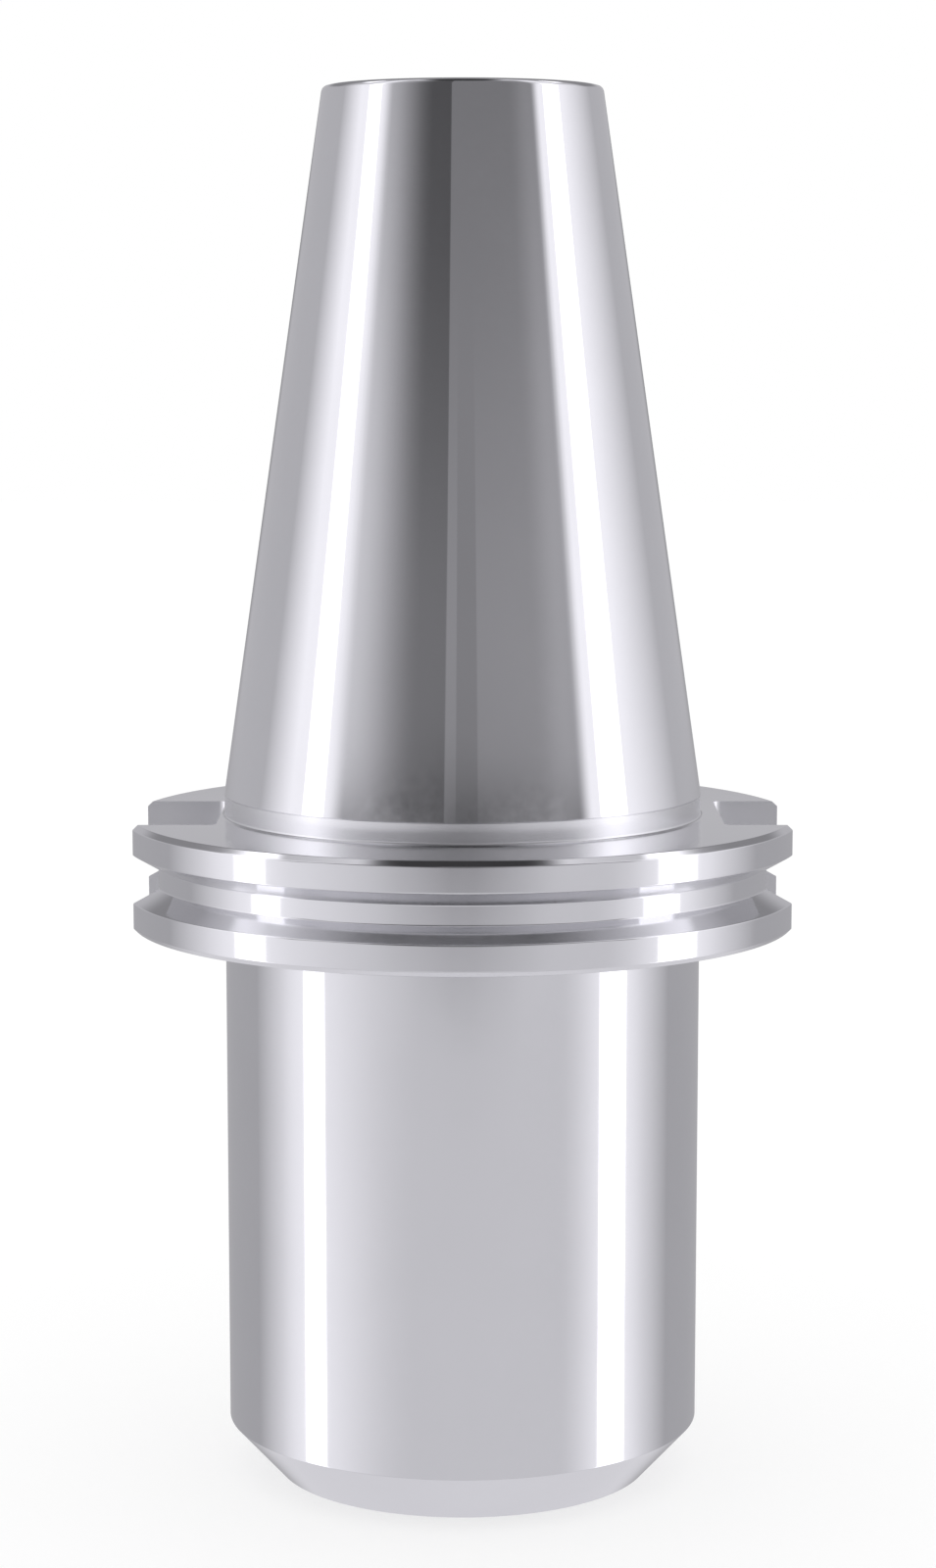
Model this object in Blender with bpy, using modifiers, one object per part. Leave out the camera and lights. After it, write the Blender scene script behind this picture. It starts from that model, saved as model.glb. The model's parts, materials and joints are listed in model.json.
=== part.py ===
"""End-mill holder with a steep 50 taper, a V-groove flange and a side-lock bore.

The holder stands on its nose face. The origin is the centre of that face, +Z runs up the
spindle axis to the small end of the taper, and the two drive slots lie on +X and -X.
The two side-lock set screws lie on +Y. All lengths are in metres.
"""

from math import atan, cos, pi, radians, sin, tan

import bmesh
import bpy

# Taper shank
GAUGE_DIAMETER = 0.06985
TAPER_PER_LENGTH = 7 / 24
SHANK_LENGTH = 0.1016
SHANK_END_ROUND = 0.0006

# Flange, counted down from the gauge plane
FLANGE_DIAMETER = 0.098425
FLANGE_DROP = 0.003175
FLANGE_THICKNESS = 0.015875
FLANGE_CHAMFER = 0.00075
GROOVE_SETBACK = 0.007925
GROOVE_WIDTH = 0.0070
GROOVE_DEPTH = 0.0035675
GROOVE_ANGLE = radians(60)
GROOVE_EDGE_BREAK = 0.00015

# Drive slots: a ledge is left between the collar and each slot's floor
SLOT_WIDTH = 0.02619
SLOT_LEDGE_LEFT = 0.000575
SLOT_LEDGE_RIGHT = 0.002775
SLOT_CORNER_RADIUS = 0.0012

# Nose
NOSE_PROJECTION = 0.1016
NOSE_DIAMETER = 0.06985
NOSE_ROOT_FILLET = 0.0015
NOSE_CHAMFER_HEIGHT = 0.0079
NOSE_CHAMFER_DEPTH = 0.0072

# End-mill bore and the coolant hole above it
BORE_DIAMETER = 0.03175
BORE_CHAMFER = 0.0010
BORE_PAST_SCREWS = 0.01825
COOLANT_HOLE_DIAMETER = 0.0143
DRILL_POINT_ANGLE = radians(118)

# Retention-knob socket in the small end
KNOB_PILOT_DIAMETER = 0.02619
KNOB_PILOT_DEPTH = 0.0095
KNOB_MOUTH_CHAMFER = 0.0012
KNOB_TAP_DIAMETER = 0.02222
KNOB_TAP_DEPTH = 0.0500
KNOB_TAP_CHAMFER = 0.0010

# Side-lock set screws and their cross holes
SCREW_COUNT = 2
SCREW_FIRST_HEIGHT = 0.0262
SCREW_SPACING = 0.0254
SCREW_DIAMETER = 0.01905
SCREW_CLEARANCE = 0.0003
SCREW_TIP_GAP = 0.000525
SCREW_RECESS = 0.00265
SCREW_POINT_DIAMETER = 0.0135
SCREW_POINT_LENGTH = 0.0024
SCREW_END_CHAMFER = 0.0010
SCREW_HOLE_CHAMFER = 0.0008
HEX_ACROSS_FLATS = 0.009525
HEX_DEPTH = 0.0075

# Fineness of the round faces, and how far a cutter runs past what it cuts
BODY_STEPS = 96
SCREW_STEPS = 48
HOLE_STEPS = 64
ARC_STEPS = 4
CUTTER_OVERRUN = 0.004
SHARP_ANGLE = radians(20)
MERGE_DISTANCE = 0.00001

# Levels and radii that follow from the sizes above
gauge_z = NOSE_PROJECTION
top_z = gauge_z + SHANK_LENGTH
rear_z = gauge_z - FLANGE_DROP
front_z = rear_z - FLANGE_THICKNESS
groove_z = rear_z - GROOVE_SETBACK
gauge_r = GAUGE_DIAMETER / 2
flange_r = FLANGE_DIAMETER / 2
nose_r = NOSE_DIAMETER / 2
bore_r = BORE_DIAMETER / 2
neck_r = max(gauge_r, nose_r)
screw_heights = [SCREW_FIRST_HEIGHT + i * SCREW_SPACING for i in range(SCREW_COUNT)]
bore_depth = screw_heights[-1] + BORE_PAST_SCREWS
screw_tip_y = bore_r + SCREW_TIP_GAP
screw_length = nose_r - SCREW_RECESS - screw_tip_y


def clear_scene():
    """Empty the scene, and drop the data that no object uses any more."""
    for obj in list(bpy.data.objects):
        bpy.data.objects.remove(obj, do_unlink=True)
    bpy.data.orphans_purge(do_recursive=True)


def new_collection(name):
    collection = bpy.data.collections.new(name)
    bpy.context.scene.collection.children.link(collection)
    return collection


def metal(name, color, roughness):
    """A Principled material for a bare or blackened steel."""
    material = bpy.data.materials.new(name)
    material.use_nodes = True
    shader = material.node_tree.nodes["Principled BSDF"]
    shader.inputs["Base Color"].default_value = (*color, 1.0)
    shader.inputs["Metallic"].default_value = 1.0
    shader.inputs["Roughness"].default_value = roughness
    material.diffuse_color = (*color, 1.0)
    return material


def arc(center, radius, start, end, steps=ARC_STEPS):
    """Points on a circle in the profile plane, from one angle to another."""
    angles = [start + (end - start) * i / steps for i in range(steps + 1)]
    return [(center[0] + radius * cos(a), center[1] + radius * sin(a)) for a in angles]


def drill_cone(radius):
    """Height of the cone that a drill of this radius leaves."""
    return radius / tan(DRILL_POINT_ANGLE / 2)


def shank_outline():
    """Down the taper: rounded small end, cone to the gauge plane, collar to the flange."""
    half_angle = atan(TAPER_PER_LENGTH / 2)
    small_r = gauge_r - SHANK_LENGTH * tan(half_angle)
    center_r = small_r - SHANK_END_ROUND * (1 - sin(half_angle)) / cos(half_angle)
    center = (center_r, top_z - SHANK_END_ROUND)
    corner = arc(center, SHANK_END_ROUND, pi / 2, half_angle)
    return corner + [(gauge_r, gauge_z), (gauge_r, rear_z)]


def flange_outline():
    """Across the flange's rear face, down its rim with the V groove, and in at the front."""
    floor_r = flange_r - GROOVE_DEPTH
    half_mouth = GROOVE_WIDTH / 2
    half_floor = half_mouth - GROOVE_DEPTH * tan(GROOVE_ANGLE / 2)
    upper = [
        (flange_r - FLANGE_CHAMFER, rear_z),
        (flange_r, rear_z - FLANGE_CHAMFER),
        (flange_r, groove_z + half_mouth + GROOVE_EDGE_BREAK),
        (flange_r - GROOVE_EDGE_BREAK, groove_z + half_mouth),
        (floor_r, groove_z + half_floor),
    ]
    lower = [
        (floor_r, groove_z - half_floor),
        (flange_r - GROOVE_EDGE_BREAK, groove_z - half_mouth),
        (flange_r, groove_z - half_mouth - GROOVE_EDGE_BREAK),
        (flange_r, front_z + FLANGE_CHAMFER),
        (flange_r - FLANGE_CHAMFER, front_z),
    ]
    return upper + lower


def nose_outline():
    """Fillet under the flange, straight nose, and the large chamfer down to the nose face."""
    center = (nose_r + NOSE_ROOT_FILLET, front_z - NOSE_ROOT_FILLET)
    fillet = arc(center, NOSE_ROOT_FILLET, pi / 2, pi)
    return fillet + [(nose_r, NOSE_CHAMFER_HEIGHT), (nose_r - NOSE_CHAMFER_DEPTH, 0.0)]


def inner_outline():
    """Up the inside: end-mill bore, coolant hole, tapped hole and pilot of the knob socket."""
    coolant_r = COOLANT_HOLE_DIAMETER / 2
    tap_r = KNOB_TAP_DIAMETER / 2
    pilot_r = KNOB_PILOT_DIAMETER / 2
    tap_bottom_z = top_z - KNOB_TAP_DEPTH
    pilot_z = top_z - KNOB_PILOT_DEPTH
    return [
        (bore_r + BORE_CHAMFER, 0.0),
        (bore_r, BORE_CHAMFER),
        (bore_r, bore_depth),
        (coolant_r, bore_depth + drill_cone(bore_r - coolant_r)),
        (coolant_r, tap_bottom_z - drill_cone(tap_r - coolant_r)),
        (tap_r, tap_bottom_z),
        (tap_r, pilot_z - KNOB_TAP_CHAMFER),
        (tap_r + KNOB_TAP_CHAMFER, pilot_z),
        (pilot_r, pilot_z),
        (pilot_r, top_z - KNOB_MOUTH_CHAMFER),
        (pilot_r + KNOB_MOUTH_CHAMFER, top_z),
    ]


def turned(name, outline, closed, steps, material, collection):
    """Revolve an outline about Z. It runs down the outside of the shape at +X."""
    mesh = bpy.data.meshes.new(name)
    count = len(outline)
    edges = [(i, (i + 1) % count) for i in range(count if closed else count - 1)]
    mesh.from_pydata([(r, 0.0, z) for r, z in outline], edges, [])
    mesh.materials.append(material)
    obj = bpy.data.objects.new(name, mesh)
    collection.objects.link(obj)
    screw = obj.modifiers.new("revolve", "SCREW")
    screw.axis = "Z"
    screw.angle = 2 * pi
    screw.steps = steps
    screw.render_steps = steps
    screw.use_merge_vertices = True
    screw.merge_threshold = MERGE_DISTANCE
    screw.use_smooth_shade = True
    return obj


def hide_as_cutter(obj):
    obj.display_type = "WIRE"
    obj.hide_render = True


def hex_cutter(name, across_flats, length, collection):
    """A closed hexagonal prism that rises from z = 0."""
    corner_r = across_flats / 2 / cos(pi / 6)
    mesh = bpy.data.meshes.new(name)
    bm = bmesh.new()
    bmesh.ops.create_cone(
        bm, cap_ends=True, segments=6, radius1=corner_r, radius2=corner_r, depth=length
    )
    bmesh.ops.translate(bm, verts=bm.verts, vec=(0.0, 0.0, length / 2))
    bm.to_mesh(mesh)
    bm.free()
    obj = bpy.data.objects.new(name, mesh)
    collection.objects.link(obj)
    hide_as_cutter(obj)
    return obj


def slot_cutter(name, side, ledge, collection):
    """A block for one drive slot, with its two floor corners rounded."""
    floor_x = neck_r + ledge
    end_x = flange_r + CUTTER_OVERRUN
    height = FLANGE_THICKNESS + 2 * CUTTER_OVERRUN
    mesh = bpy.data.meshes.new(name)
    bm = bmesh.new()
    bmesh.ops.create_cube(bm, size=1.0)
    bmesh.ops.scale(bm, verts=bm.verts, vec=(end_x - floor_x, SLOT_WIDTH, height))
    corners = [
        edge
        for edge in bm.edges
        if all(side * v.co.x < 0 for v in edge.verts)
        and edge.verts[0].co.y * edge.verts[1].co.y > 0
        and abs(edge.verts[0].co.z - edge.verts[1].co.z) > height / 2
    ]
    bmesh.ops.bevel(
        bm, geom=corners, offset=SLOT_CORNER_RADIUS, segments=ARC_STEPS, profile=0.5, affect="EDGES"
    )
    bm.to_mesh(mesh)
    bm.free()
    obj = bpy.data.objects.new(name, mesh)
    obj.location = (side * (floor_x + end_x) / 2, 0.0, (rear_z + front_z) / 2)
    collection.objects.link(obj)
    hide_as_cutter(obj)
    return obj


def cut(obj, cutter):
    boolean = obj.modifiers.new("cut " + cutter.name, "BOOLEAN")
    boolean.operation = "DIFFERENCE"
    boolean.solver = "EXACT"
    boolean.object = cutter


def smooth_group():
    """Node group that shades a mesh smooth and keeps its edges over an angle sharp."""
    group = bpy.data.node_groups.new("smooth_by_angle", "GeometryNodeTree")
    group.interface.new_socket("Geometry", in_out="INPUT", socket_type="NodeSocketGeometry")
    angle = group.interface.new_socket("Angle", in_out="INPUT", socket_type="NodeSocketFloat")
    angle.default_value = SHARP_ANGLE
    group.interface.new_socket("Geometry", in_out="OUTPUT", socket_type="NodeSocketGeometry")
    nodes = group.nodes
    start = nodes.new("NodeGroupInput")
    faces = nodes.new("GeometryNodeSetShadeSmooth")
    edges = nodes.new("GeometryNodeSetShadeSmooth")
    edges.domain = "EDGE"
    edges.inputs["Shade Smooth"].default_value = False
    edge_angle = nodes.new("GeometryNodeInputMeshEdgeAngle")
    compare = nodes.new("FunctionNodeCompare")
    compare.operation = "GREATER_THAN"
    end = nodes.new("NodeGroupOutput")
    links = group.links
    links.new(start.outputs["Geometry"], faces.inputs["Geometry"])
    links.new(edge_angle.outputs["Unsigned Angle"], compare.inputs["A"])
    links.new(start.outputs["Angle"], compare.inputs["B"])
    links.new(compare.outputs["Result"], edges.inputs["Selection"])
    links.new(faces.outputs["Geometry"], edges.inputs["Geometry"])
    links.new(edges.outputs["Geometry"], end.inputs["Geometry"])
    return group


def smooth_round_faces(obj, group):
    modifier = obj.modifiers.new("smooth by angle", "NODES")
    modifier.node_group = group


def cross_hole_cutter(name, height, material, collection):
    """A turned cutter along +Y for one set-screw hole and the countersink at its mouth."""
    hole_r = SCREW_DIAMETER / 2
    past_y = nose_r + CUTTER_OVERRUN
    saddle_y = (nose_r**2 - hole_r**2) ** 0.5
    sink_depth = past_y - saddle_y + SCREW_HOLE_CHAMFER
    outline = [
        (0.0, past_y),
        (hole_r + sink_depth, past_y),
        (hole_r, past_y - sink_depth),
        (hole_r, 0.0),
        (0.0, 0.0),
    ]
    cutter = turned(name, outline, False, HOLE_STEPS, material, collection)
    cutter.location = (0.0, 0.0, height)
    cutter.rotation_euler = (-pi / 2, 0.0, 0.0)
    hide_as_cutter(cutter)
    return cutter


def make_holder_body(parts, cutters, datum, group):
    steel = metal("ground_steel", (0.62, 0.62, 0.635), 0.22)
    outline = shank_outline() + flange_outline() + nose_outline() + inner_outline()
    body = turned("holder_body", outline, True, BODY_STEPS, steel, parts)
    cut(body, slot_cutter("cut_slot_right", 1, SLOT_LEDGE_RIGHT, cutters))
    cut(body, slot_cutter("cut_slot_left", -1, SLOT_LEDGE_LEFT, cutters))
    for index, height in enumerate(screw_heights, start=1):
        cut(body, cross_hole_cutter(f"cut_screw_hole_{index}", height, steel, cutters))
    smooth_round_faces(body, group)
    body.parent = datum


def screw_outline():
    """Down the outside of a set screw from its socket end to its flat point."""
    outer_r = SCREW_DIAMETER / 2 - SCREW_CLEARANCE
    point_r = SCREW_POINT_DIAMETER / 2
    return [
        (0.0, screw_length),
        (outer_r - SCREW_END_CHAMFER, screw_length),
        (outer_r, screw_length - SCREW_END_CHAMFER),
        (outer_r, SCREW_POINT_LENGTH),
        (point_r, 0.0),
        (0.0, 0.0),
    ]


def make_set_screw(name, height, parts, cutters, datum, group, steel):
    """A set screw on its axis along +Y, point inwards, with a hex socket in its outer end."""
    screw = turned(name, screw_outline(), False, SCREW_STEPS, steel, parts)
    socket = hex_cutter("cut_hex_" + name, HEX_ACROSS_FLATS, HEX_DEPTH + CUTTER_OVERRUN, cutters)
    socket.location = (0.0, 0.0, screw_length - HEX_DEPTH)
    socket.parent = screw
    cut(screw, socket)
    smooth_round_faces(screw, group)
    screw.location = (0.0, screw_tip_y, height)
    screw.rotation_euler = (-pi / 2, 0.0, 0.0)
    screw.parent = datum


def main():
    clear_scene()
    parts = new_collection("endmill_holder")
    cutters = new_collection("cutters")
    datum = bpy.data.objects.new("holder_datum", None)
    parts.objects.link(datum)
    group = smooth_group()
    make_holder_body(parts, cutters, datum, group)
    blackened = metal("blackened_steel", (0.045, 0.045, 0.05), 0.42)
    names = ["lower_set_screw", "upper_set_screw"]
    for index, height in enumerate(screw_heights):
        name = names[index] if index < len(names) else f"set_screw_{index + 1}"
        make_set_screw(name, height, parts, cutters, datum, group, blackened)


main()
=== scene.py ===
"""Looks of a size 50 V-flange side-lock end mill holder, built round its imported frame.

The steel body is turned, slotted and drilled at a finer step than the frame's solid. The
threads and the set screws are made in full, and the part stands on a pale floor in a soft
studio. Lengths are in metres, +Z runs up the spindle axis and +Y towards the set screws.
"""

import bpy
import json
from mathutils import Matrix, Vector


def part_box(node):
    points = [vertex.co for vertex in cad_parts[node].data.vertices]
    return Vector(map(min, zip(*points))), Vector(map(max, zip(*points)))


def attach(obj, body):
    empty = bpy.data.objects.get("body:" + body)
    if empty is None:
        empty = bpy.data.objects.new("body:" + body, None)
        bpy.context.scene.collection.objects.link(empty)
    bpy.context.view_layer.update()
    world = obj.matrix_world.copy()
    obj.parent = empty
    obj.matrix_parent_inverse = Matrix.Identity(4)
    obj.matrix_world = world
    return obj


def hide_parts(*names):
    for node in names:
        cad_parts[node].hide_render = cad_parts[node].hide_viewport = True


bl_info = {
    "name": "End Mill Holder",
    "version": (1, 0, 0),
    "blender": (4, 5, 0),
    "location": "3D View > Sidebar > Holder",
    "description": "Builds a steep-taper side-lock end mill holder and its studio",
    "category": "Object",
}

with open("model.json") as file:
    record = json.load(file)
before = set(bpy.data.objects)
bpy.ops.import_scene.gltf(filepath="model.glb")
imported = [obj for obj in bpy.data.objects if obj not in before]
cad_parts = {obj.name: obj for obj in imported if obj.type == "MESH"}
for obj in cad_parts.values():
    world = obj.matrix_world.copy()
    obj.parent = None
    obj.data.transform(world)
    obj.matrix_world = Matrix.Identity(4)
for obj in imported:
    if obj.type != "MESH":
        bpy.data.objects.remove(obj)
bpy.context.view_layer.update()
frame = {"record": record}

import json
from math import cos, pi, radians, sin, tan

import bpy
from bpy.props import FloatProperty, FloatVectorProperty, PointerProperty
from bpy.types import Operator, Panel, PropertyGroup
from mathutils import Vector

# What the frame says of the part
MOUNT_POINTS = {mount["name"]: mount["pos_m"] for mount in frame["record"]["mounts"]}
SLOT_COLORS = {item["slot"]: item["base_color"] for item in frame["record"]["materials"]}
BODY_LOW, BODY_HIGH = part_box("holder_body")
REAR_HEIGHT = MOUNT_POINTS["flange_rear_face"][2]
FRONT_HEIGHT = MOUNT_POINTS["flange_front_face"][2]
SCREWS = {"lower_set_screw": "lower_screw", "upper_set_screw": "upper_screw"}
SCREW_BOXES = {node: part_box(node) for node in SCREWS}
SCREW_HEIGHTS = [(low.z + high.z) / 2 for low, high in SCREW_BOXES.values()]
SCREW_SPACING = SCREW_HEIGHTS[1] - SCREW_HEIGHTS[0]

# Fineness of the meshes
BODY_STEPS = 288
SCREW_STEPS = 96
HOLE_STEPS = 128
THREAD_STEPS = 72
ARC_STEPS = 3
RING_SPACING = 0.0035
EDGE_SUPPORT = 0.00008
ZONE_MARGIN = 0.00008
SHARP_ANGLE = radians(30)
MERGE_DISTANCE = 0.000001
CUTTER_OVERRUN = 0.004
LATHE_RADIUS = 0.05
LEAST_SCALE = 0.02
LAID_ALONG_Y = (-pi / 2, 0.0, 0.0)

# Shapes of the drilled and broached socket in each set screw
DRILL_POINT = 118
DRILL_SHARE = 0.96
DRILL_SINK = 0.98
SINK_SLOPE = 2.0

# How the steel looks: polished steel over its slot's colour, the clouds that handling
# leaves, and the black oxide with its worn edges
POLISH_GAIN = 1.29
POLISHED_STEEL = [POLISH_GAIN * part for part in SLOT_COLORS["ground_steel"]]
TINT_SPREAD = 0.04
CLOUD_SHARE = 0.75
WEAR_GRAIN = 1400.0
WEAR_BEND = (0.02, 0.16)
WORN_SHARE = 0.6
WORN_LEVEL = 0.6
OXIDE_METALLIC = 0.85
OXIDE_CLOUD = 0.003
OXIDE_RELIEF = 0.00002
OXIDE_STRENGTH = 0.6

# The stage: a table just under the part, and the lens fitted to the picture's frame
FLOOR_SIZE = 6.0
FLOOR_GAP = 0.00005
WHITE = (1.0, 1.0, 1.0)
FLOOR_PAINT = 0.38
FLOOR_GLOW = 0.64
SENSOR_WIDTH = 36.0
LENS = 83.37
SHIFT_X = 0.00346
SHIFT_Y = 0.0499

# The studio in degrees of bearing from the camera: where a part begins and where it is
# full, the two edges of a band, or a panel's start, full, wane and end
TURNS = {
    "grey card": (-9.2, -8.4),
    "left room": (22, 66),
    "right room": (36, 54),
    "rear room": (70, 85),
    "rear card": (156, 175),
    "rear table": (80, 100),
    "far table": (4, 44),
    "horizon": (62, 46),
    "table rise": (20, 50),
    "rear ceiling": (110, 130),
    "apron": (97, 30),
}
BANDS = {"card gap": (-3.3, 7.2), "left tube": (69.6, 82.4), "right tube": (69.0, 85.4)}
PANELS = {
    "upper left": (58, 69, 90, 113),
    "upper right": (57, 65.5, 88, 126),
    "lower left": (20, 95, 80, 118),
    "lower right": (46, 81, 80, 118),
}

# The studio in degrees over the horizon: where a part begins and where it is full
TILTS = {
    "card top": (11, 20),
    "card foot": (8.4, 10.0),
    "card gap": (17, 12),
    "rear card": (5.5, 3.5),
    "over panels": (23, 32),
    "horizon": (8.45, 8.15),
    "over table": (-11.5, -6.5),
    "ceiling": (56, 63),
    "rear ceiling": (15, 24),
    "under": (-22, -40),
    "apron top": (-43, -50),
    "apron foot": (-64, -54),
}

# The softboxes at the sides: lowest and highest tilt, first and last bearing, soft edge
SIDE_LAMPS = ((-44, -29, 84, 102), (40, 54, 100, 116))
LAMP_SOFT = 3

# Shares and slopes that shape the studio, with heights and distances as parts of 1
CARD_TOP_SHARE = 0.68
CARD_FOOT_SHARE = 0.22
SKYLINE_DROOP = 0.0414
FAR_TABLE_LEVEL = 1.1
TABLE_RISE = -0.085
APRON_DROOP = 0.075
BEHIND = (-0.15, 0.10)
HOOD_LEAN = 0.25
HOOD_WIDTH = (0.55, 0.20)
HOOD_HEIGHT = (0.945, 0.985)


def length(name, description, default):
    """A property for one length of the part."""
    return FloatProperty(
        name=name,
        description=description,
        default=default,
        min=0.0,
        precision=5,
        subtype="DISTANCE",
    )


def share(name, description, default, highest=1.0):
    """A property for a level, a share or another plain number."""
    return FloatProperty(
        name=name, description=description, default=default, min=0.0, max=highest, subtype="FACTOR"
    )


def angle(name, description, degrees):
    """A property for an angle."""
    return FloatProperty(
        name=name, description=description, default=radians(degrees), subtype="ANGLE"
    )


def color(name, description, default):
    """A property for a colour."""
    return FloatVectorProperty(
        name=name, description=description, default=default, min=0.0, max=1.0, subtype="COLOR"
    )


class ShankSizes(PropertyGroup):
    """Sizes of the taper shank and of the flange under it."""

    gauge_diameter: length("Gauge Diameter", "Taper's diameter at the gauge plane", 0.06985)
    taper: share("Taper", "Loss of diameter for each length of the shank", 7 / 24)
    gauge_drop: length("Gauge Drop", "From the gauge plane down to the flange", 0.003175)
    end_round: length("End Round", "Radius of the small end's outer edge", 0.0008)
    flange_diameter: length("Flange Diameter", "Diameter of the flange", 2 * BODY_HIGH.y)
    collar_root: length("Collar Root", "Fillet between the collar and the rear face", 0.0004)
    gauge_nick: length("Gauge Nick", "Depth of the fine line that marks the gauge plane", 0.0001)
    flange_chamfer: length("Flange Chamfer", "Chamfer on the flange's outer edges", 0.00075)
    groove_setback: length("Groove Setback", "From the rear face to the V groove", 0.007925)
    groove_width: length("Groove Width", "Width of the V groove's mouth", 0.0070)
    groove_depth: length("Groove Depth", "Depth of the V groove", 0.0035675)
    groove_angle: angle("Groove Angle", "Angle between the V groove's flanks", 60)
    slot_width: length(
        "Slot Width", "Width of each drive slot", 2 * MOUNT_POINTS["right_drive_slot_wall"][1]
    )
    slot_corner: length("Slot Corner", "Radius of each slot's floor corners", 0.0012)
    edge_break: length("Edge Break", "Radius of every edge that a stone has broken", 0.00018)


class NoseSizes(PropertyGroup):
    """Sizes of the nose, its bore and the socket of the retention knob."""

    nose_diameter: length("Nose Diameter", "Diameter of the straight nose", 0.06985)
    root_fillet: length("Root Fillet", "Fillet between the nose and the flange", 0.0015)
    chamfer_height: length("Chamfer Height", "Height of the nose chamfer", 0.0079)
    chamfer_depth: length("Chamfer Depth", "Depth of the nose chamfer", 0.0072)
    bore_diameter: length("Bore Diameter", "Diameter of the end-mill bore", 0.03175)
    bore_depth: length("Bore Depth", "Depth of the end-mill bore", 0.06985)
    bore_chamfer: length("Bore Chamfer", "Chamfer at the bore's mouth", 0.0010)
    coolant_diameter: length("Coolant Diameter", "Diameter of the coolant hole", 0.0143)
    drill_angle: angle("Drill Angle", "Point angle of the drills", DRILL_POINT)
    pilot_diameter: length("Pilot Diameter", "Diameter of the knob's pilot bore", 0.02619)
    pilot_depth: length("Pilot Depth", "Depth of the knob's pilot bore", 0.0095)
    pilot_chamfer: length("Pilot Chamfer", "Chamfer at the pilot bore's mouth", 0.0012)
    knob_major: length("Knob Thread Major", "Outer diameter of the knob's thread", 0.0254)
    knob_minor: length("Knob Thread Minor", "Inner diameter of the knob's thread", 0.02222)
    knob_pitch: length("Knob Thread Pitch", "Pitch of the knob's thread", 0.003175)
    knob_depth: length("Knob Thread Depth", "Depth of the tapped hole", 0.0500)


class ScrewSizes(PropertyGroup):
    """Sizes of the side-lock set screws and of their holes."""

    hole_diameter: length("Hole Diameter", "Thread's outer diameter in the hole", 0.01905)
    hole_crest: length("Hole Crest", "Radius at which the hole's thread ends", 0.00896)
    hole_sink: length("Hole Sink", "Countersink at the mouth of each hole", 0.0008)
    crest_radius: length("Crest Radius", "Radius of the screw's thread crests", 0.00884)
    root_radius: length("Root Radius", "Radius of the screw's thread roots", 0.00804)
    pitch: length("Pitch", "Pitch of the set screw's thread", 0.0015875)
    end_chamfer: length("End Chamfer", "Chamfer at the screw's outer end", 0.0010)
    point_diameter: length("Point Diameter", "Diameter of the screw's flat point", 0.0135)
    point_length: length("Point Length", "Length of the screw's cone point", 0.0024)
    hex_width: length("Hex Width", "Hex socket across its flats", 0.009525)
    hex_depth: length("Hex Depth", "Depth of the hex socket", 0.0075)
    hex_sink: length("Hex Sink", "Countersink at the socket's mouth", 0.0005)


class FinishLooks(PropertyGroup):
    """Colours and finishes of the steel."""

    steel_color: color("Steel", "Colour of the polished steel", POLISHED_STEEL)
    oxide_color: color("Oxide", "Colour of the blackened steel", SLOT_COLORS["blackened_steel"])
    taper_roughness: share("Taper Roughness", "Roughness of the ground taper", 0.05)
    collar_roughness: share("Collar Roughness", "Roughness of the collar under the taper", 0.22)
    nose_roughness: share("Nose Roughness", "Roughness of the polished nose", 0.07)
    flange_roughness: share("Flange Roughness", "Roughness of the turned flange", 0.09)
    slot_roughness: share("Slot Roughness", "Roughness of the milled slots", 0.33)
    bore_roughness: share("Bore Roughness", "Roughness of the bored holes", 0.30)
    oxide_roughness: share("Oxide Roughness", "Roughness of the black oxide", 0.40)
    lay: share("Lay", "How far the tool's lines stretch a highlight", 0.90)
    haze: share("Haze", "How much handling clouds the polish", 0.05)
    line_depth: length("Line Depth", "Height of the lines that the tool leaves", 0.00000006)


class StudioLevels(PropertyGroup):
    """Light levels of the studio, and the camera."""

    light_color: color("Light Color", "Colour of the lights in the steel", (0.748, 0.740, 0.775))
    tube_level: share("Tube Level", "Brightness of the tall tube at each side", 2.4, 4.0)
    panel_level: share("Panel Level", "Brightness of the panel round each tube", 1.46, 4.0)
    dark_level: share("Dark Level", "Brightness of the dark card in front", 0.265)
    front_level: share("Front Level", "Brightness of the grey card in front", 0.42)
    middle_level: share("Middle Level", "Brightness of the gap between the cards", 0.34)
    over_panels: share("Over Panels", "How far the panels and tubes reach overhead", 0.35)
    left_level: share("Left Level", "Brightness of the room left of the cards", 0.97)
    right_level: share("Right Level", "Brightness of the room right of the cards", 0.55)
    rear_level: share("Rear Level", "Brightness of the room behind the part", 0.68)
    rear_card_level: share("Rear Card Level", "Brightness of the dark card behind", 0.32)
    table_level: share("Table Level", "Brightness of the table in front", 0.87)
    horizon_level: share("Horizon Level", "Brightness of the horizon in front", 0.22)
    table_rear_level: share("Table Rear Level", "Brightness of the table behind", 0.57)
    ceiling_level: share("Ceiling Level", "Brightness of the ceiling behind the part", 0.36)
    overhead_level: share("Overhead Level", "Brightness of the ceiling in front", 0.95, 4.0)
    hood_level: share("Hood Level", "Brightness of the dark hood over the camera", 0.06)
    apron_level: share("Apron Level", "Brightness of the dark apron below the camera", 0.13)
    under_level: share("Under Level", "Brightness of the floor round the part", 1.0, 4.0)
    camera_height: length("Camera Height", "Height of the camera", 0.1695)
    camera_distance: length("Camera Distance", "From the spindle axis to the camera", 0.5299)
    camera_pitch: angle("Camera Pitch", "How far down the camera looks", 8.42)


def socket_of(sockets, key):
    """One of a node's shown sockets, by its name or by its place among them."""
    shown = [socket for socket in sockets if socket.enabled]
    if isinstance(key, int):
        return shown[key]
    return next(socket for socket in shown if socket.name == key)


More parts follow.
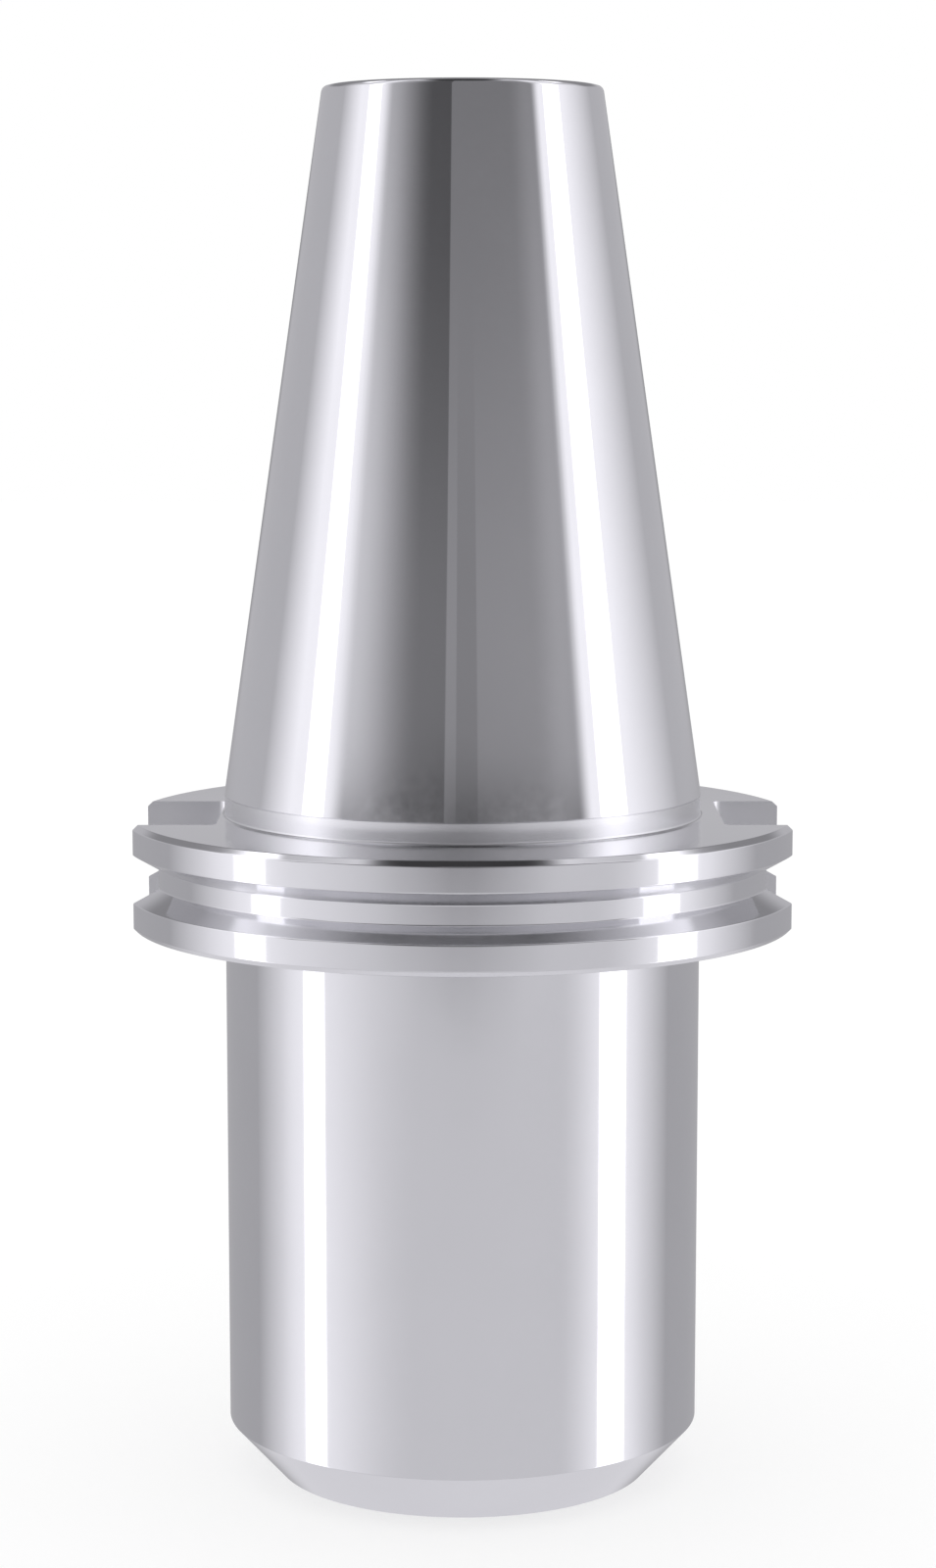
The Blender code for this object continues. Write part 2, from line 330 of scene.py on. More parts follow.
def add(tree, kind, settings=None, inputs=None):
    """Place a node, make its settings, and link or set its inputs."""
    node = tree.nodes.new(kind)
    for name, value in (settings or {}).items():
        setattr(node, name, value)
    for key, value in (inputs or {}).items():
        for part in value if isinstance(value, list) else [value]:
            socket = socket_of(node.inputs, key)
            if isinstance(part, bpy.types.NodeSocket):
                tree.links.new(part, socket)
            else:
                socket.default_value = part
    return node


def math(tree, operation, *values):
    """The result of a Math node on sockets and numbers."""
    node = add(tree, "ShaderNodeMath", {"operation": operation}, dict(enumerate(values)))
    return node.outputs[0]


def product(tree, *values):
    """The product of sockets and numbers, taken in their order."""
    result = values[0]
    for value in values[1:]:
        result = math(tree, "MULTIPLY", result, value)
    return result


def vector_math(tree, operation, output, *values):
    """A named result of a Vector Math node on sockets, vectors and numbers."""
    node = add(tree, "ShaderNodeVectorMath", {"operation": operation}, dict(enumerate(values)))
    return node.outputs[output]


def joined(tree, x=0.0, y=0.0, z=0.0):
    """A vector of three sockets or numbers."""
    return add(tree, "ShaderNodeCombineXYZ", None, {"X": x, "Y": y, "Z": z}).outputs[0]


def separated(tree, vector):
    """The X, Y and Z sockets of a vector."""
    return add(tree, "ShaderNodeSeparateXYZ", None, {0: vector}).outputs


def moved(tree, geometry, **change):
    """Geometry that a Transform node has moved or turned."""
    inputs = {"Geometry": geometry, **change}
    return add(tree, "GeometryNodeTransform", None, inputs).outputs[0]


def painted(tree, geometry, material, zone=True):
    """Geometry whose chosen faces have this material."""
    inputs = {"Geometry": geometry, "Selection": zone, "Material": material}
    return add(tree, "GeometryNodeSetMaterial", None, inputs).outputs[0]


def cut_away(tree, blank, cutters):
    """A mesh without what its cutters take away."""
    settings = {"operation": "DIFFERENCE", "solver": "EXACT"}
    inputs = {"Mesh 1": blank, "Mesh 2": cutters}
    return add(tree, "GeometryNodeMeshBoolean", settings, inputs).outputs["Mesh"]


def repeated(tree, count, first, spacing, instance, **turn):
    """Instances of a mesh along a line."""
    places = add(tree, "GeometryNodeMeshLine", {"mode": "OFFSET"}, {
        "Count": count,
        "Start Location": first,
        "Offset": spacing,
    })
    inputs = {"Points": places.outputs[0], "Instance": instance, **turn}
    return add(tree, "GeometryNodeInstanceOnPoints", None, inputs).outputs[0]


def swept(tree, path, section, caps, **scale):
    """A mesh from a section that runs along a path."""
    inputs = {"Curve": path, "Profile Curve": section, "Fill Caps": caps, **scale}
    return add(tree, "GeometryNodeCurveToMesh", None, inputs).outputs[0]


def upright(tree, curve):
    """A curve whose normals stay level, so that a section on it stays upright."""
    return add(tree, "GeometryNodeSetCurveNormal", {"mode": "Z_UP"}, {"Curve": curve}).outputs[0]


def noise(tree, vector, scale, detail, roughness=0.5, **more):
    """A noise texture's value, in 4D where a W is given."""
    settings = {"noise_dimensions": "4D" if "W" in more else "3D"}
    inputs = {"Vector": vector, "Scale": scale, "Detail": detail, "Roughness": roughness, **more}
    return add(tree, "ShaderNodeTexNoise", settings, inputs).outputs["Fac"]


def ramp(tree, value, low, high, smooth=True):
    """A socket that rises from 0 to 1 while value goes from low to high."""
    settings = {"interpolation_type": "SMOOTHSTEP" if smooth else "LINEAR", "clamp": True}
    inputs = {"Value": value, "From Min": low, "From Max": high}
    return add(tree, "ShaderNodeMapRange", settings, inputs).outputs[0]


FLOAT = "NodeSocketFloat"
COUNT = "NodeSocketInt"
VECTOR = "NodeSocketVector"
SHAPE = "NodeSocketGeometry"
MATERIAL = "NodeSocketMaterial"
MESH = {"Mesh": SHAPE}


def new_group(name, kind, inputs, outputs):
    """A node group with named sockets, and its input and output sockets inside.

    Each input comes with its default number, or with its socket's type if it has none.
    """
    group = bpy.data.node_groups.new(name, kind)
    number_types = {float: FLOAT, int: COUNT}
    for label, given in inputs.items():
        socket_type = number_types.get(type(given), given)
        socket = group.interface.new_socket(label, in_out="INPUT", socket_type=socket_type)
        if socket_type != given:
            socket.default_value = given
    for label, socket_type in outputs.items():
        group.interface.new_socket(label, in_out="OUTPUT", socket_type=socket_type)
    start = group.nodes.new("NodeGroupInput").outputs
    return group, start, group.nodes.new("NodeGroupOutput").inputs


def tool_group(name):
    """The node group of this name, built the first time that it is asked for."""
    return bpy.data.node_groups.get(name) or TOOL_GROUPS[name](name)


def place_group(tree, name, inputs):
    """Put the node group of this name into another tree, and return its outputs."""
    kind = "ShaderNodeGroup" if tree.bl_idname == "ShaderNodeTree" else "GeometryNodeGroup"
    return add(tree, kind, {"node_tree": tool_group(name)}, inputs).outputs


def passed_on(start, names, prefix=""):
    """Some of a tree's own inputs, for a group that calls them by the same names."""
    return {name: start[prefix + name] for name in names}


def lathe_group(name):
    """Geometry group that turns a closed profile about Z, with its X as the radius."""
    inputs = {"Profile": SHAPE, "Steps": BODY_STEPS}
    group, start, end = new_group(name, "GeometryNodeTree", inputs, MESH)
    outline = add(group, "GeometryNodeMeshToCurve", None, {"Mesh": start["Profile"]})
    laid = moved(
        group,
        outline.outputs[0],
        Translation=(-LATHE_RADIUS, 0.0, 0.0),
        Scale=(1.0, -1.0, 1.0),
    )
    circle = add(group, "GeometryNodeCurvePrimitiveCircle", {"mode": "RADIUS"}, {
        "Resolution": start["Steps"],
        "Radius": LATHE_RADIUS,
    })
    turned = swept(group, upright(group, circle.outputs[0]), laid, False)
    merged = add(group, "GeometryNodeMergeByDistance", None, {
        "Geometry": turned,
        "Distance": MERGE_DISTANCE,
    })
    group.links.new(merged.outputs[0], end["Mesh"])
    return group


def smooth_group(name):
    """Geometry group that shades a mesh smooth but for its edges over an angle."""
    inputs = {"Mesh": SHAPE, "Sharp Angle": SHARP_ANGLE}
    group, start, end = new_group(name, "GeometryNodeTree", inputs, MESH)
    edge_angle = add(group, "GeometryNodeInputMeshEdgeAngle").outputs["Unsigned Angle"]
    sharp = math(group, "GREATER_THAN", edge_angle, start["Sharp Angle"])
    faces = add(group, "GeometryNodeSetShadeSmooth", {"domain": "FACE"}, {
        "Geometry": start["Mesh"],
        "Shade Smooth": True,
    })
    edges = add(group, "GeometryNodeSetShadeSmooth", {"domain": "EDGE"}, {
        "Geometry": faces.outputs[0],
        "Selection": sharp,
        "Shade Smooth": False,
    })
    group.links.new(edges.outputs[0], end["Mesh"])
    return group


def slot_cutter_group(name):
    """Geometry group for a drive slot's cutter: an upright bar with rounded corners."""
    inputs = {
        "Floor": 0.0377,
        "Reach": 0.0530,
        "Width": 0.02619,
        "Corner": 0.0012,
        "Bottom": 0.0785,
        "Top": 0.1025,
    }
    group, start, end = new_group(name, "GeometryNodeTree", inputs, MESH)
    across = math(group, "ABSOLUTE", math(group, "SUBTRACT", start["Reach"], start["Floor"]))
    middle = product(group, math(group, "ADD", start["Reach"], start["Floor"]), 0.5)
    section = add(group, "GeometryNodeCurvePrimitiveQuadrilateral", {"mode": "RECTANGLE"}, {
        "Width": across,
        "Height": start["Width"],
    })
    corners = add(group, "GeometryNodeFilletCurve", {"mode": "POLY"}, {
        "Curve": section.outputs[0],
        "Count": 2 * ARC_STEPS,
        "Radius": start["Corner"],
    })
    path = add(group, "GeometryNodeCurvePrimitiveLine", {"mode": "POINTS"}, {
        "Start": joined(group, x=middle, z=start["Bottom"]),
        "End": joined(group, x=middle, z=start["Top"]),
    })
    bar = swept(group, path.outputs[0], corners.outputs[0], True)
    group.links.new(bar, end["Mesh"])
    return group


def hole_cutter_group(name):
    """Geometry group that repeats a cross hole's drill and countersink up the nose."""
    inputs = {
        "Count": 2,
        "Start": 0.0262,
        "Spacing": 0.0254,
        "Radius": 0.009525,
        "Reach": 0.0390,
        "Sink Start": 0.0328,
    }
    outputs = {"Drills": SHAPE, "Countersinks": SHAPE}
    group, start, end = new_group(name, "GeometryNodeTree", inputs, outputs)
    first = joined(group, z=start["Start"])
    spacing = joined(group, z=start["Spacing"])
    sink_depth = math(group, "SUBTRACT", start["Reach"], start["Sink Start"])
    drill = add(group, "GeometryNodeMeshCylinder", None, {
        "Vertices": HOLE_STEPS,
        "Radius": start["Radius"],
        "Depth": start["Reach"],
    })
    sink = add(group, "GeometryNodeMeshCone", None, {
        "Vertices": HOLE_STEPS,
        "Radius Top": math(group, "ADD", start["Radius"], sink_depth),
        "Radius Bottom": start["Radius"],
        "Depth": sink_depth,
    })
    for cutter, along, output in (
        (drill, product(group, start["Reach"], 0.5), "Drills"),
        (sink, start["Sink Start"], "Countersinks"),
    ):
        place = joined(group, y=along)
        laid = moved(group, cutter.outputs["Mesh"], Translation=place, Rotation=LAID_ALONG_Y)
        row = repeated(group, start["Count"], first, spacing, laid)
        real = add(group, "GeometryNodeRealizeInstances", None, {"Geometry": row})
        group.links.new(real.outputs[0], end[output])
    return group


def ridge_group(name):
    """Geometry group for a right-hand thread ridge round Z that fades at both its ends.

    A crest radius under the root radius makes a nut's thread, and one over it a screw's.
    """
    inputs = {
        "Length": 0.0160,
        "Pitch": 0.0015875,
        "Root Radius": 0.0080,
        "Crest Radius": 0.0088,
        "Root Share": 0.86,
        "Crest Share": 0.14,
        "Sunk": 0.00012,
        "Fade Turns": 0.5,
    }
    group, start, end = new_group(name, "GeometryNodeTree", inputs, MESH)
    turns = math(group, "DIVIDE", start["Length"], start["Pitch"])
    rise = math(group, "SUBTRACT", start["Crest Radius"], start["Root Radius"])
    side = math(group, "SIGN", rise)
    section = add(group, "GeometryNodeCurvePrimitiveQuadrilateral", {"mode": "TRAPEZOID"}, {
        "Bottom Width": product(group, start["Pitch"], start["Root Share"]),
        "Top Width": product(group, start["Pitch"], start["Crest Share"]),
        "Height": math(group, "ADD", math(group, "ABSOLUTE", rise), start["Sunk"]),
        "Offset": 0.0,
    })
    over_root = math(group, "SUBTRACT", rise, product(group, side, start["Sunk"]))
    stood = moved(
        group,
        section.outputs[0],
        Translation=joined(group, x=product(group, over_root, 0.5)),
        Rotation=joined(group, z=product(group, side, -pi / 2)),
    )
    spiral = add(group, "GeometryNodeCurveSpiral", None, {
        "Resolution": THREAD_STEPS,
        "Rotations": turns,
        "Start Radius": start["Root Radius"],
        "End Radius": start["Root Radius"],
        "Height": start["Length"],
        "Reverse": True,
    })
    path = upright(group, spiral.outputs[0])
    along = add(group, "GeometryNodeSplineParameter").outputs["Factor"]
    to_end = math(group, "MINIMUM", along, math(group, "SUBTRACT", 1.0, along))
    faded = math(group, "DIVIDE", product(group, to_end, turns), start["Fade Turns"])
    scale = math(group, "MAXIMUM", math(group, "MINIMUM", faded, 1.0), LEAST_SCALE)
    ridge = swept(group, path, stood, True, Scale=scale)
    group.links.new(ridge, end["Mesh"])
    return group


def end_with_material(tree, geometry, material, result, zone=True):
    """End a tree: realize every instance, and set the material of the chosen faces."""
    real = add(tree, "GeometryNodeRealizeInstances", None, {"Geometry": geometry})
    tree.links.new(painted(tree, real.outputs[0], material, zone), result)


def body_tree():
    """Geometry tree that turns the body, cuts its slots and holes, and sets its finishes."""
    inputs = {
        "Profile": SHAPE,
        "Gauge Height": 0.1016,
        "Rear Height": 0.098425,
        "Flange Front": 0.08255,
        "Slot Width": 0.02619,
        "Slot Corner": 0.0012,
        "Slot Bottom": 0.0785,
        "Slot Top": 0.1025,
        "Slot Reach": 0.0530,
        "Right Floor": 0.0377,
        "Left Floor": -0.0355,
        "Hole Count": 2,
        "Hole Start": 0.0262,
        "Hole Spacing": 0.0254,
        "Hole Radius": 0.009525,
        "Hole Reach": 0.0390,
        "Hole Sink Start": 0.0328,
        "Taper Steel": MATERIAL,
        "Collar Steel": MATERIAL,
        "Flange Steel": MATERIAL,
        "Nose Steel": MATERIAL,
        "Slot Steel": MATERIAL,
        "Bore Steel": MATERIAL,
    }
    tree, start, end = new_group("holder_body", "GeometryNodeTree", inputs, MESH)
    finished = place_group(tree, "lathe", {"Profile": start["Profile"], "Steps": BODY_STEPS})[0]

    place = add(tree, "GeometryNodeInputPosition").outputs[0]
    facing = add(tree, "GeometryNodeInputNormal").outputs[0]
    level = vector_math(tree, "MULTIPLY", 0, place, (1.0, 1.0, 0.0))
    outward = vector_math(tree, "DOT_PRODUCT", "Value", level, facing)
    height = separated(tree, place)["Z"]
    collar_foot = math(tree, "ADD", start["Rear Height"], ZONE_MARGIN)
    on_taper = math(tree, "GREATER_THAN", height, start["Gauge Height"])
    over_flange = math(tree, "GREATER_THAN", height, collar_foot)
    on_nose = math(tree, "LESS_THAN", height, start["Flange Front"])
    outer = math(tree, "GREATER_THAN", outward, ZONE_MARGIN)
    inner = math(tree, "LESS_THAN", outward, -ZONE_MARGIN)
    for finish, zone in (
        ("Flange Steel", True),
        ("Taper Steel", product(tree, on_taper, outer)),
        ("Nose Steel", product(tree, on_nose, outer)),
        ("Bore Steel", inner),
    ):
        finished = painted(tree, finished, start[finish], zone)

    slot_sizes = passed_on(start, ("Width", "Corner", "Bottom", "Top"), "Slot ")
    hole_sizes = ("Count", "Start", "Spacing", "Radius", "Reach", "Sink Start")
    holes = place_group(tree, "screw_hole_cutters", passed_on(start, hole_sizes, "Hole "))
    cutters = []
    for floor, side in (("Right Floor", 1.0), ("Left Floor", -1.0)):
        reach = product(tree, start["Slot Reach"], side)
        sizes = {"Floor": start[floor], "Reach": reach, **slot_sizes}
        cutters.append((place_group(tree, "drive_slot_cutter", sizes)[0], "Slot Steel"))
    cutters += [(holes["Drills"], "Bore Steel"), (holes["Countersinks"], "Bore Steel")]
    cut = cut_away(tree, finished, [
        painted(tree, cutter, start[finish]) for cutter, finish in cutters
    ])
    smoothed = place_group(tree, "smooth_by_angle", {"Mesh": cut})[0]
    on_collar = product(tree, over_flange, math(tree, "SUBTRACT", 1.0, on_taper), outer)
    end_with_material(tree, smoothed, start["Collar Steel"], end["Mesh"], on_collar)
    return tree


def ridges_tree():
    """Geometry tree that repeats a nut thread's ridge along a line of holes."""
    sizes = {
        "Length": 0.0160,
        "Pitch": 0.0015875,
        "Root Radius": 0.009525,
        "Crest Radius": 0.00896,
    }
    inputs = {
        "Geometry": SHAPE,
        "Count": 1,
        "First": VECTOR,
        "Spacing": VECTOR,
        "Turned": VECTOR,
        **sizes,
        "Steel": MATERIAL,
    }
    tree, start, end = new_group("nut_threads", "GeometryNodeTree", inputs, MESH)
    rough = place_group(tree, "thread_ridge", passed_on(start, sizes))[0]
    one = place_group(tree, "smooth_by_angle", {"Mesh": rough})[0]
    line = [start[name] for name in ("Count", "First", "Spacing")]
    row = repeated(tree, *line, one, Rotation=start["Turned"])
    end_with_material(tree, row, start["Steel"], end["Mesh"])
    return tree


def screw_tree():
    """Geometry tree for one set screw: turned blank, broached hex socket and thread."""
    inputs = {
        "Profile": SHAPE,
        "Length": 0.015875,
        "Hex Width": 0.009525,
        "Hex Depth": 0.0075,
        "Hex Sink": 0.0005,
        "Thread Start": 0.0024,
        "Thread Length": 0.0130,
        "Pitch": 0.0015875,
        "Root Radius": 0.00804,
        "Crest Radius": 0.00884,
        "Tip": 0.0164,
        "Height": 0.0262,
        "Oxide": MATERIAL,
    }
    tree, start, end = new_group("side_lock_screw", "GeometryNodeTree", inputs, MESH)
    blank = place_group(tree, "lathe", {"Profile": start["Profile"], "Steps": SCREW_STEPS})[0]
    flat_r = product(tree, start["Hex Width"], 0.5)
    floor = math(tree, "SUBTRACT", start["Length"], start["Hex Depth"])
    hex_length = math(tree, "ADD", start["Hex Depth"], CUTTER_OVERRUN)
    hexagon = add(tree, "GeometryNodeMeshCylinder", None, {
        "Vertices": 6,
        "Radius": math(tree, "DIVIDE", flat_r, cos(pi / 6)),
        "Depth": hex_length,
    })
    half_way = math(tree, "ADD", floor, product(tree, hex_length, 0.5))
    drill_depth = product(tree, flat_r, 1 / tan(radians(DRILL_POINT / 2)))
    drill = add(tree, "GeometryNodeMeshCone", None, {
        "Vertices": SCREW_STEPS,
        "Radius Top": product(tree, flat_r, DRILL_SHARE),
        "Radius Bottom": 0.0,
        "Depth": drill_depth,
    })
    drill_tip = math(tree, "SUBTRACT", floor, product(tree, drill_depth, DRILL_SINK))
    sink_depth = math(tree, "ADD", start["Hex Sink"], CUTTER_OVERRUN)
    sink = add(tree, "GeometryNodeMeshCone", None, {
        "Vertices": SCREW_STEPS,
        "Radius Top": math(tree, "ADD", flat_r, product(tree, sink_depth, SINK_SLOPE)),
        "Radius Bottom": flat_r,
        "Depth": sink_depth,
    })
    sink_floor = math(tree, "SUBTRACT", start["Length"], start["Hex Sink"])
    broached = cut_away(tree, blank, [
        moved(tree, cutter.outputs["Mesh"], Translation=joined(tree, z=height))
        for cutter, height in ((hexagon, half_way), (drill, drill_tip), (sink, sink_floor))
    ])
    sizes = passed_on(start, ("Pitch", "Root Radius", "Crest Radius"))
    thread = place_group(tree, "thread_ridge", {"Length": start["Thread Length"], **sizes})[0]
    raised = moved(tree, thread, Translation=joined(tree, z=start["Thread Start"]))
    whole = add(tree, "GeometryNodeJoinGeometry", None, {"Geometry": [broached, raised]})
    seat = joined(tree, y=start["Tip"], z=start["Height"])
    laid = moved(tree, whole.outputs[0], Translation=seat, Rotation=LAID_ALONG_Y)
    smoothed = place_group(tree, "smooth_by_angle", {"Mesh": laid})[0]
    end_with_material(tree, smoothed, start["Oxide"], end["Mesh"])
    return tree


def rounded(corners):
    """A closed outline of (radius, height, round) corners, with each corner made an arc.

    A support point beyond each end of an arc keeps the long faces' shading flat.
    """
    points = []
    for index, (radius, height, size) in enumerate(corners):
        corner = Vector((radius, height))
        if size == 0.0:
            points.append(corner)
            continue
        before = (Vector(corners[index - 1][:2]) - corner).normalized()
        after = (Vector(corners[(index + 1) % len(corners)][:2]) - corner).normalized()
        half = before.angle(after) / 2
        reach = size / tan(half)
        middle = corner + (before + after).normalized() * size / sin(half)
        first = (corner + before * reach - middle).normalized()
        last = (corner + after * reach - middle).normalized()
        arc = [middle + first.slerp(last, step / ARC_STEPS) * size for step in range(ARC_STEPS + 1)]
        outer = corner + before * (reach + EDGE_SUPPORT)
        points += [outer] + arc + [corner + after * (reach + EDGE_SUPPORT)]
    return points


def profile_object(name, points):
    """A closed polyline in the XY plane, for a tree to turn."""
    mesh = bpy.data.meshes.new(name)
    count = len(points)
    edges = [(index, (index + 1) % count) for index in range(count)]
    mesh.from_pydata([(x, y, 0.0) for x, y in points], edges, [])
    obj = bpy.data.objects.new(name, mesh)
    bpy.context.scene.collection.objects.link(obj)
    return obj


def make_by_tree(obj, tree, values):
    """Run a tree on the object with these inputs, and keep its result as a plain mesh."""
    modifier = obj.modifiers.new(tree.name, "NODES")
    modifier.node_group = tree
    for item in tree.interface.items_tree:
        if item.item_type == "SOCKET" and item.in_out == "INPUT" and item.name in values:
            modifier[item.identifier] = values[item.name]
    made = obj.evaluated_get(bpy.context.evaluated_depsgraph_get())
    mesh = bpy.data.meshes.new_from_object(made)
    if not mesh.polygons:
        raise RuntimeError(f"{tree.name} made no faces for {obj.name}")
    obj.modifiers.clear()
    obj.data = mesh
    mesh.name = obj.name
    return obj


def lathe_lines_group(name):
    """Shader group for the fine lines that a turning or grinding tool leaves round Z."""
    inputs = {"Position": VECTOR, "Spacing": 0.0004, "Breaks": 1.5}
    group, start, end = new_group(name, "ShaderNodeTree", inputs, {"Height": FLOAT})
    level = vector_math(group, "MULTIPLY", 0, start["Position"], (1.0, 1.0, 0.0))
    radius = vector_math(group, "LENGTH", "Value", level)
    around = separated(group, vector_math(group, "NORMALIZE", 0, level))
    place = joined(
        group,
        math(group, "DIVIDE", radius, start["Spacing"]),
        math(group, "DIVIDE", separated(group, start["Position"])["Z"], start["Spacing"]),
        product(group, around["X"], start["Breaks"]),
    )
    turn = product(group, around["Y"], start["Breaks"])
    lines = noise(group, place, scale=1.0, detail=2.0, roughness=0.6, W=turn)
    group.links.new(lines, end["Height"])
    return group


def milled_lines_group(name):
    """Shader group for the feed lines that a milling cutter leaves along Z."""
    inputs = {"Position": VECTOR, "Spacing": 0.0006, "Run": 0.03}
    group, start, end = new_group(name, "ShaderNodeTree", inputs, {"Height": FLOAT})
    place = separated(group, start["Position"])
    cells = joined(group, *(
        math(group, "DIVIDE", place[axis], start[step])
        for axis, step in (("X", "Spacing"), ("Y", "Spacing"), ("Z", "Run"))
    ))
    group.links.new(noise(group, cells, scale=1.0, detail=2.0), end["Height"])
    return group


def haze_group(name):
    """Shader group for a roughness that handling and wiping have clouded a little."""
    inputs = {
        "Position": VECTOR,
        "Roughness": 0.2,
        "Haze": 0.05,
        "Cloud Size": 0.018,
        "Fleck Size": 0.0012,
    }
    outputs = {"Roughness": FLOAT, "Cloud": FLOAT}
    group, start, end = new_group(name, "ShaderNodeTree", inputs, outputs)
    clouds, flecks = [
        noise(group, start["Position"], math(group, "DIVIDE", 1.0, start[size]), 3.0, 0.55)
        for size in ("Cloud Size", "Fleck Size")
    ]
    mixed = math(
        group,
        "ADD",
        product(group, clouds, CLOUD_SHARE),
        product(group, flecks, 1 - CLOUD_SHARE),
    )
    swing = product(group, math(group, "SUBTRACT", mixed, 0.5), start["Haze"], 2.0)
    rough = math(group, "ADD", start["Roughness"], swing)
    group.links.new(rough, end["Roughness"])
    group.links.new(mixed, end["Cloud"])
    return group


def edge_wear_group(name):
    """Shader group for a mask of the edges where a coating has rubbed through."""
    inputs = {"Position": VECTOR, "Width": 0.00025, "Wear": 0.5}
    group, start, end = new_group(name, "ShaderNodeTree", inputs, {"Mask": FLOAT})
    soft = add(group, "ShaderNodeBevel", {"samples": 6}, {"Radius": start["Width"]}).outputs[0]
    hard = add(group, "ShaderNodeNewGeometry").outputs["Normal"]
    bend = math(group, "SUBTRACT", 1.0, vector_math(group, "DOT_PRODUCT", "Value", soft, hard))
    grain = noise(group, start["Position"], WEAR_GRAIN, 3.0)
    patchy = product(group, bend, math(group, "ADD", grain, start["Wear"]))
    group.links.new(ramp(group, patchy, *WEAR_BEND), end["Mask"])
    return group


# The groups that trees and materials place, by the names that they are placed by
TOOL_GROUPS = {
    "lathe": lathe_group,
    "smooth_by_angle": smooth_group,
    "drive_slot_cutter": slot_cutter_group,
    "screw_hole_cutters": hole_cutter_group,
    "thread_ridge": ridge_group,
    "lathe_lines": lathe_lines_group,
    "milled_lines": milled_lines_group,
    "handling_haze": haze_group,
    "edge_wear": edge_wear_group,
}

# Each bare steel finish: its roughness property, the spacing of its lines and their lay
STEEL_FINISHES = {
    "ground_taper_steel": ("taper_roughness", 0.00030, "round"),
    "honed_collar_steel": ("collar_roughness", 0.00035, "crossed"),
    "turned_flange_steel": ("flange_roughness", 0.00045, "round"),
    "polished_nose_steel": ("nose_roughness", 0.00040, "round"),
    "milled_slot_steel": ("slot_roughness", 0.00060, "along"),
    "bored_steel": ("bore_roughness", 0.00050, "round"),
}


def shaded(rgb, level):
    """A colour at another level, with its alpha."""
    return (*(level * part for part in rgb), 1.0)


def new_metal(name, metallic):
    """A new metal's material, its tree, its shader and the object's coordinates in it."""
    material = bpy.data.materials.new(name)
    material.use_nodes = True
    tree = material.node_tree
    shader = tree.nodes["Principled BSDF"]
    shader.inputs["Metallic"].default_value = metallic
    return material, tree, shader, add(tree, "ShaderNodeTexCoord").outputs["Object"]


def dress_metal(tree, shader, tones, roughness, relief):
    """Give a metal its two mixed tones, its roughness and its relief."""
    tint = add(tree, "ShaderNodeMix", {"data_type": "RGBA"}, tones).outputs["Result"]
    bump = add(tree, "ShaderNodeBump", None, relief).outputs["Normal"]
    for socket, name in ((tint, "Base Color"), (roughness, "Roughness"), (bump, "Normal")):
        tree.links.new(socket, shader.inputs[name])


def steel_material(name, looks):
    """Bare steel with a tool's fine lines, which stretch every highlight across them."""
    roughness, spacing, lay = STEEL_FINISHES[name]
    material, tree, shader, place = new_metal(name, 1.0)
    lines_name = "milled_lines" if lay == "along" else "lathe_lines"
    lines = place_group(tree, lines_name, {"Position": place, "Spacing": spacing})
    haze = place_group(tree, "handling_haze", {
        "Position": place,
        "Roughness": getattr(looks, roughness),
        "Haze": looks.haze,
    })
    tones = {
        "Factor": haze["Cloud"],
        "A": shaded(looks.steel_color, 1 - TINT_SPREAD),
        "B": shaded(looks.steel_color, 1 + TINT_SPREAD),
    }
    relief = {"Height": lines["Height"], "Distance": looks.line_depth, "Strength": 1.0}
    dress_metal(tree, shader, tones, haze["Roughness"], relief)
    if lay != "along":
        round_axis = vector_math(tree, "CROSS_PRODUCT", 0, (0.0, 0.0, 1.0), place)
        tree.links.new(round_axis, shader.inputs["Tangent"])
        shader.inputs["Anisotropic"].default_value = looks.lay
        shader.inputs["Anisotropic Rotation"].default_value = 0.25 if lay == "round" else 0.0
    return material


def oxide_material(name, looks):
    """Black oxide on steel, rubbed bright where the threads and the hex key have worn it."""
    material, tree, shader, place = new_metal(name, OXIDE_METALLIC)
    worn = place_group(tree, "edge_wear", {"Position": place})["Mask"]
    haze = place_group(tree, "handling_haze", {
        "Position": place,
        "Roughness": looks.oxide_roughness,
        "Haze": 2 * looks.haze,
        "Cloud Size": OXIDE_CLOUD,
    })
    tones = {
        "Factor": product(tree, worn, WORN_SHARE),
        "A": shaded(looks.oxide_color, 1.0),
        "B": shaded(looks.steel_color, WORN_LEVEL),
    }
    relief = {"Height": haze["Cloud"], "Distance": OXIDE_RELIEF, "Strength": OXIDE_STRENGTH}
    dress_metal(tree, shader, tones, haze["Roughness"], relief)
    return material


def finish(context, name):
    """The named finish's material, built the first time that a piece asks for it."""
    make = steel_material if name in STEEL_FINISHES else oxide_material
    return bpy.data.materials.get(name) or make(name, context.scene.holder_finish)


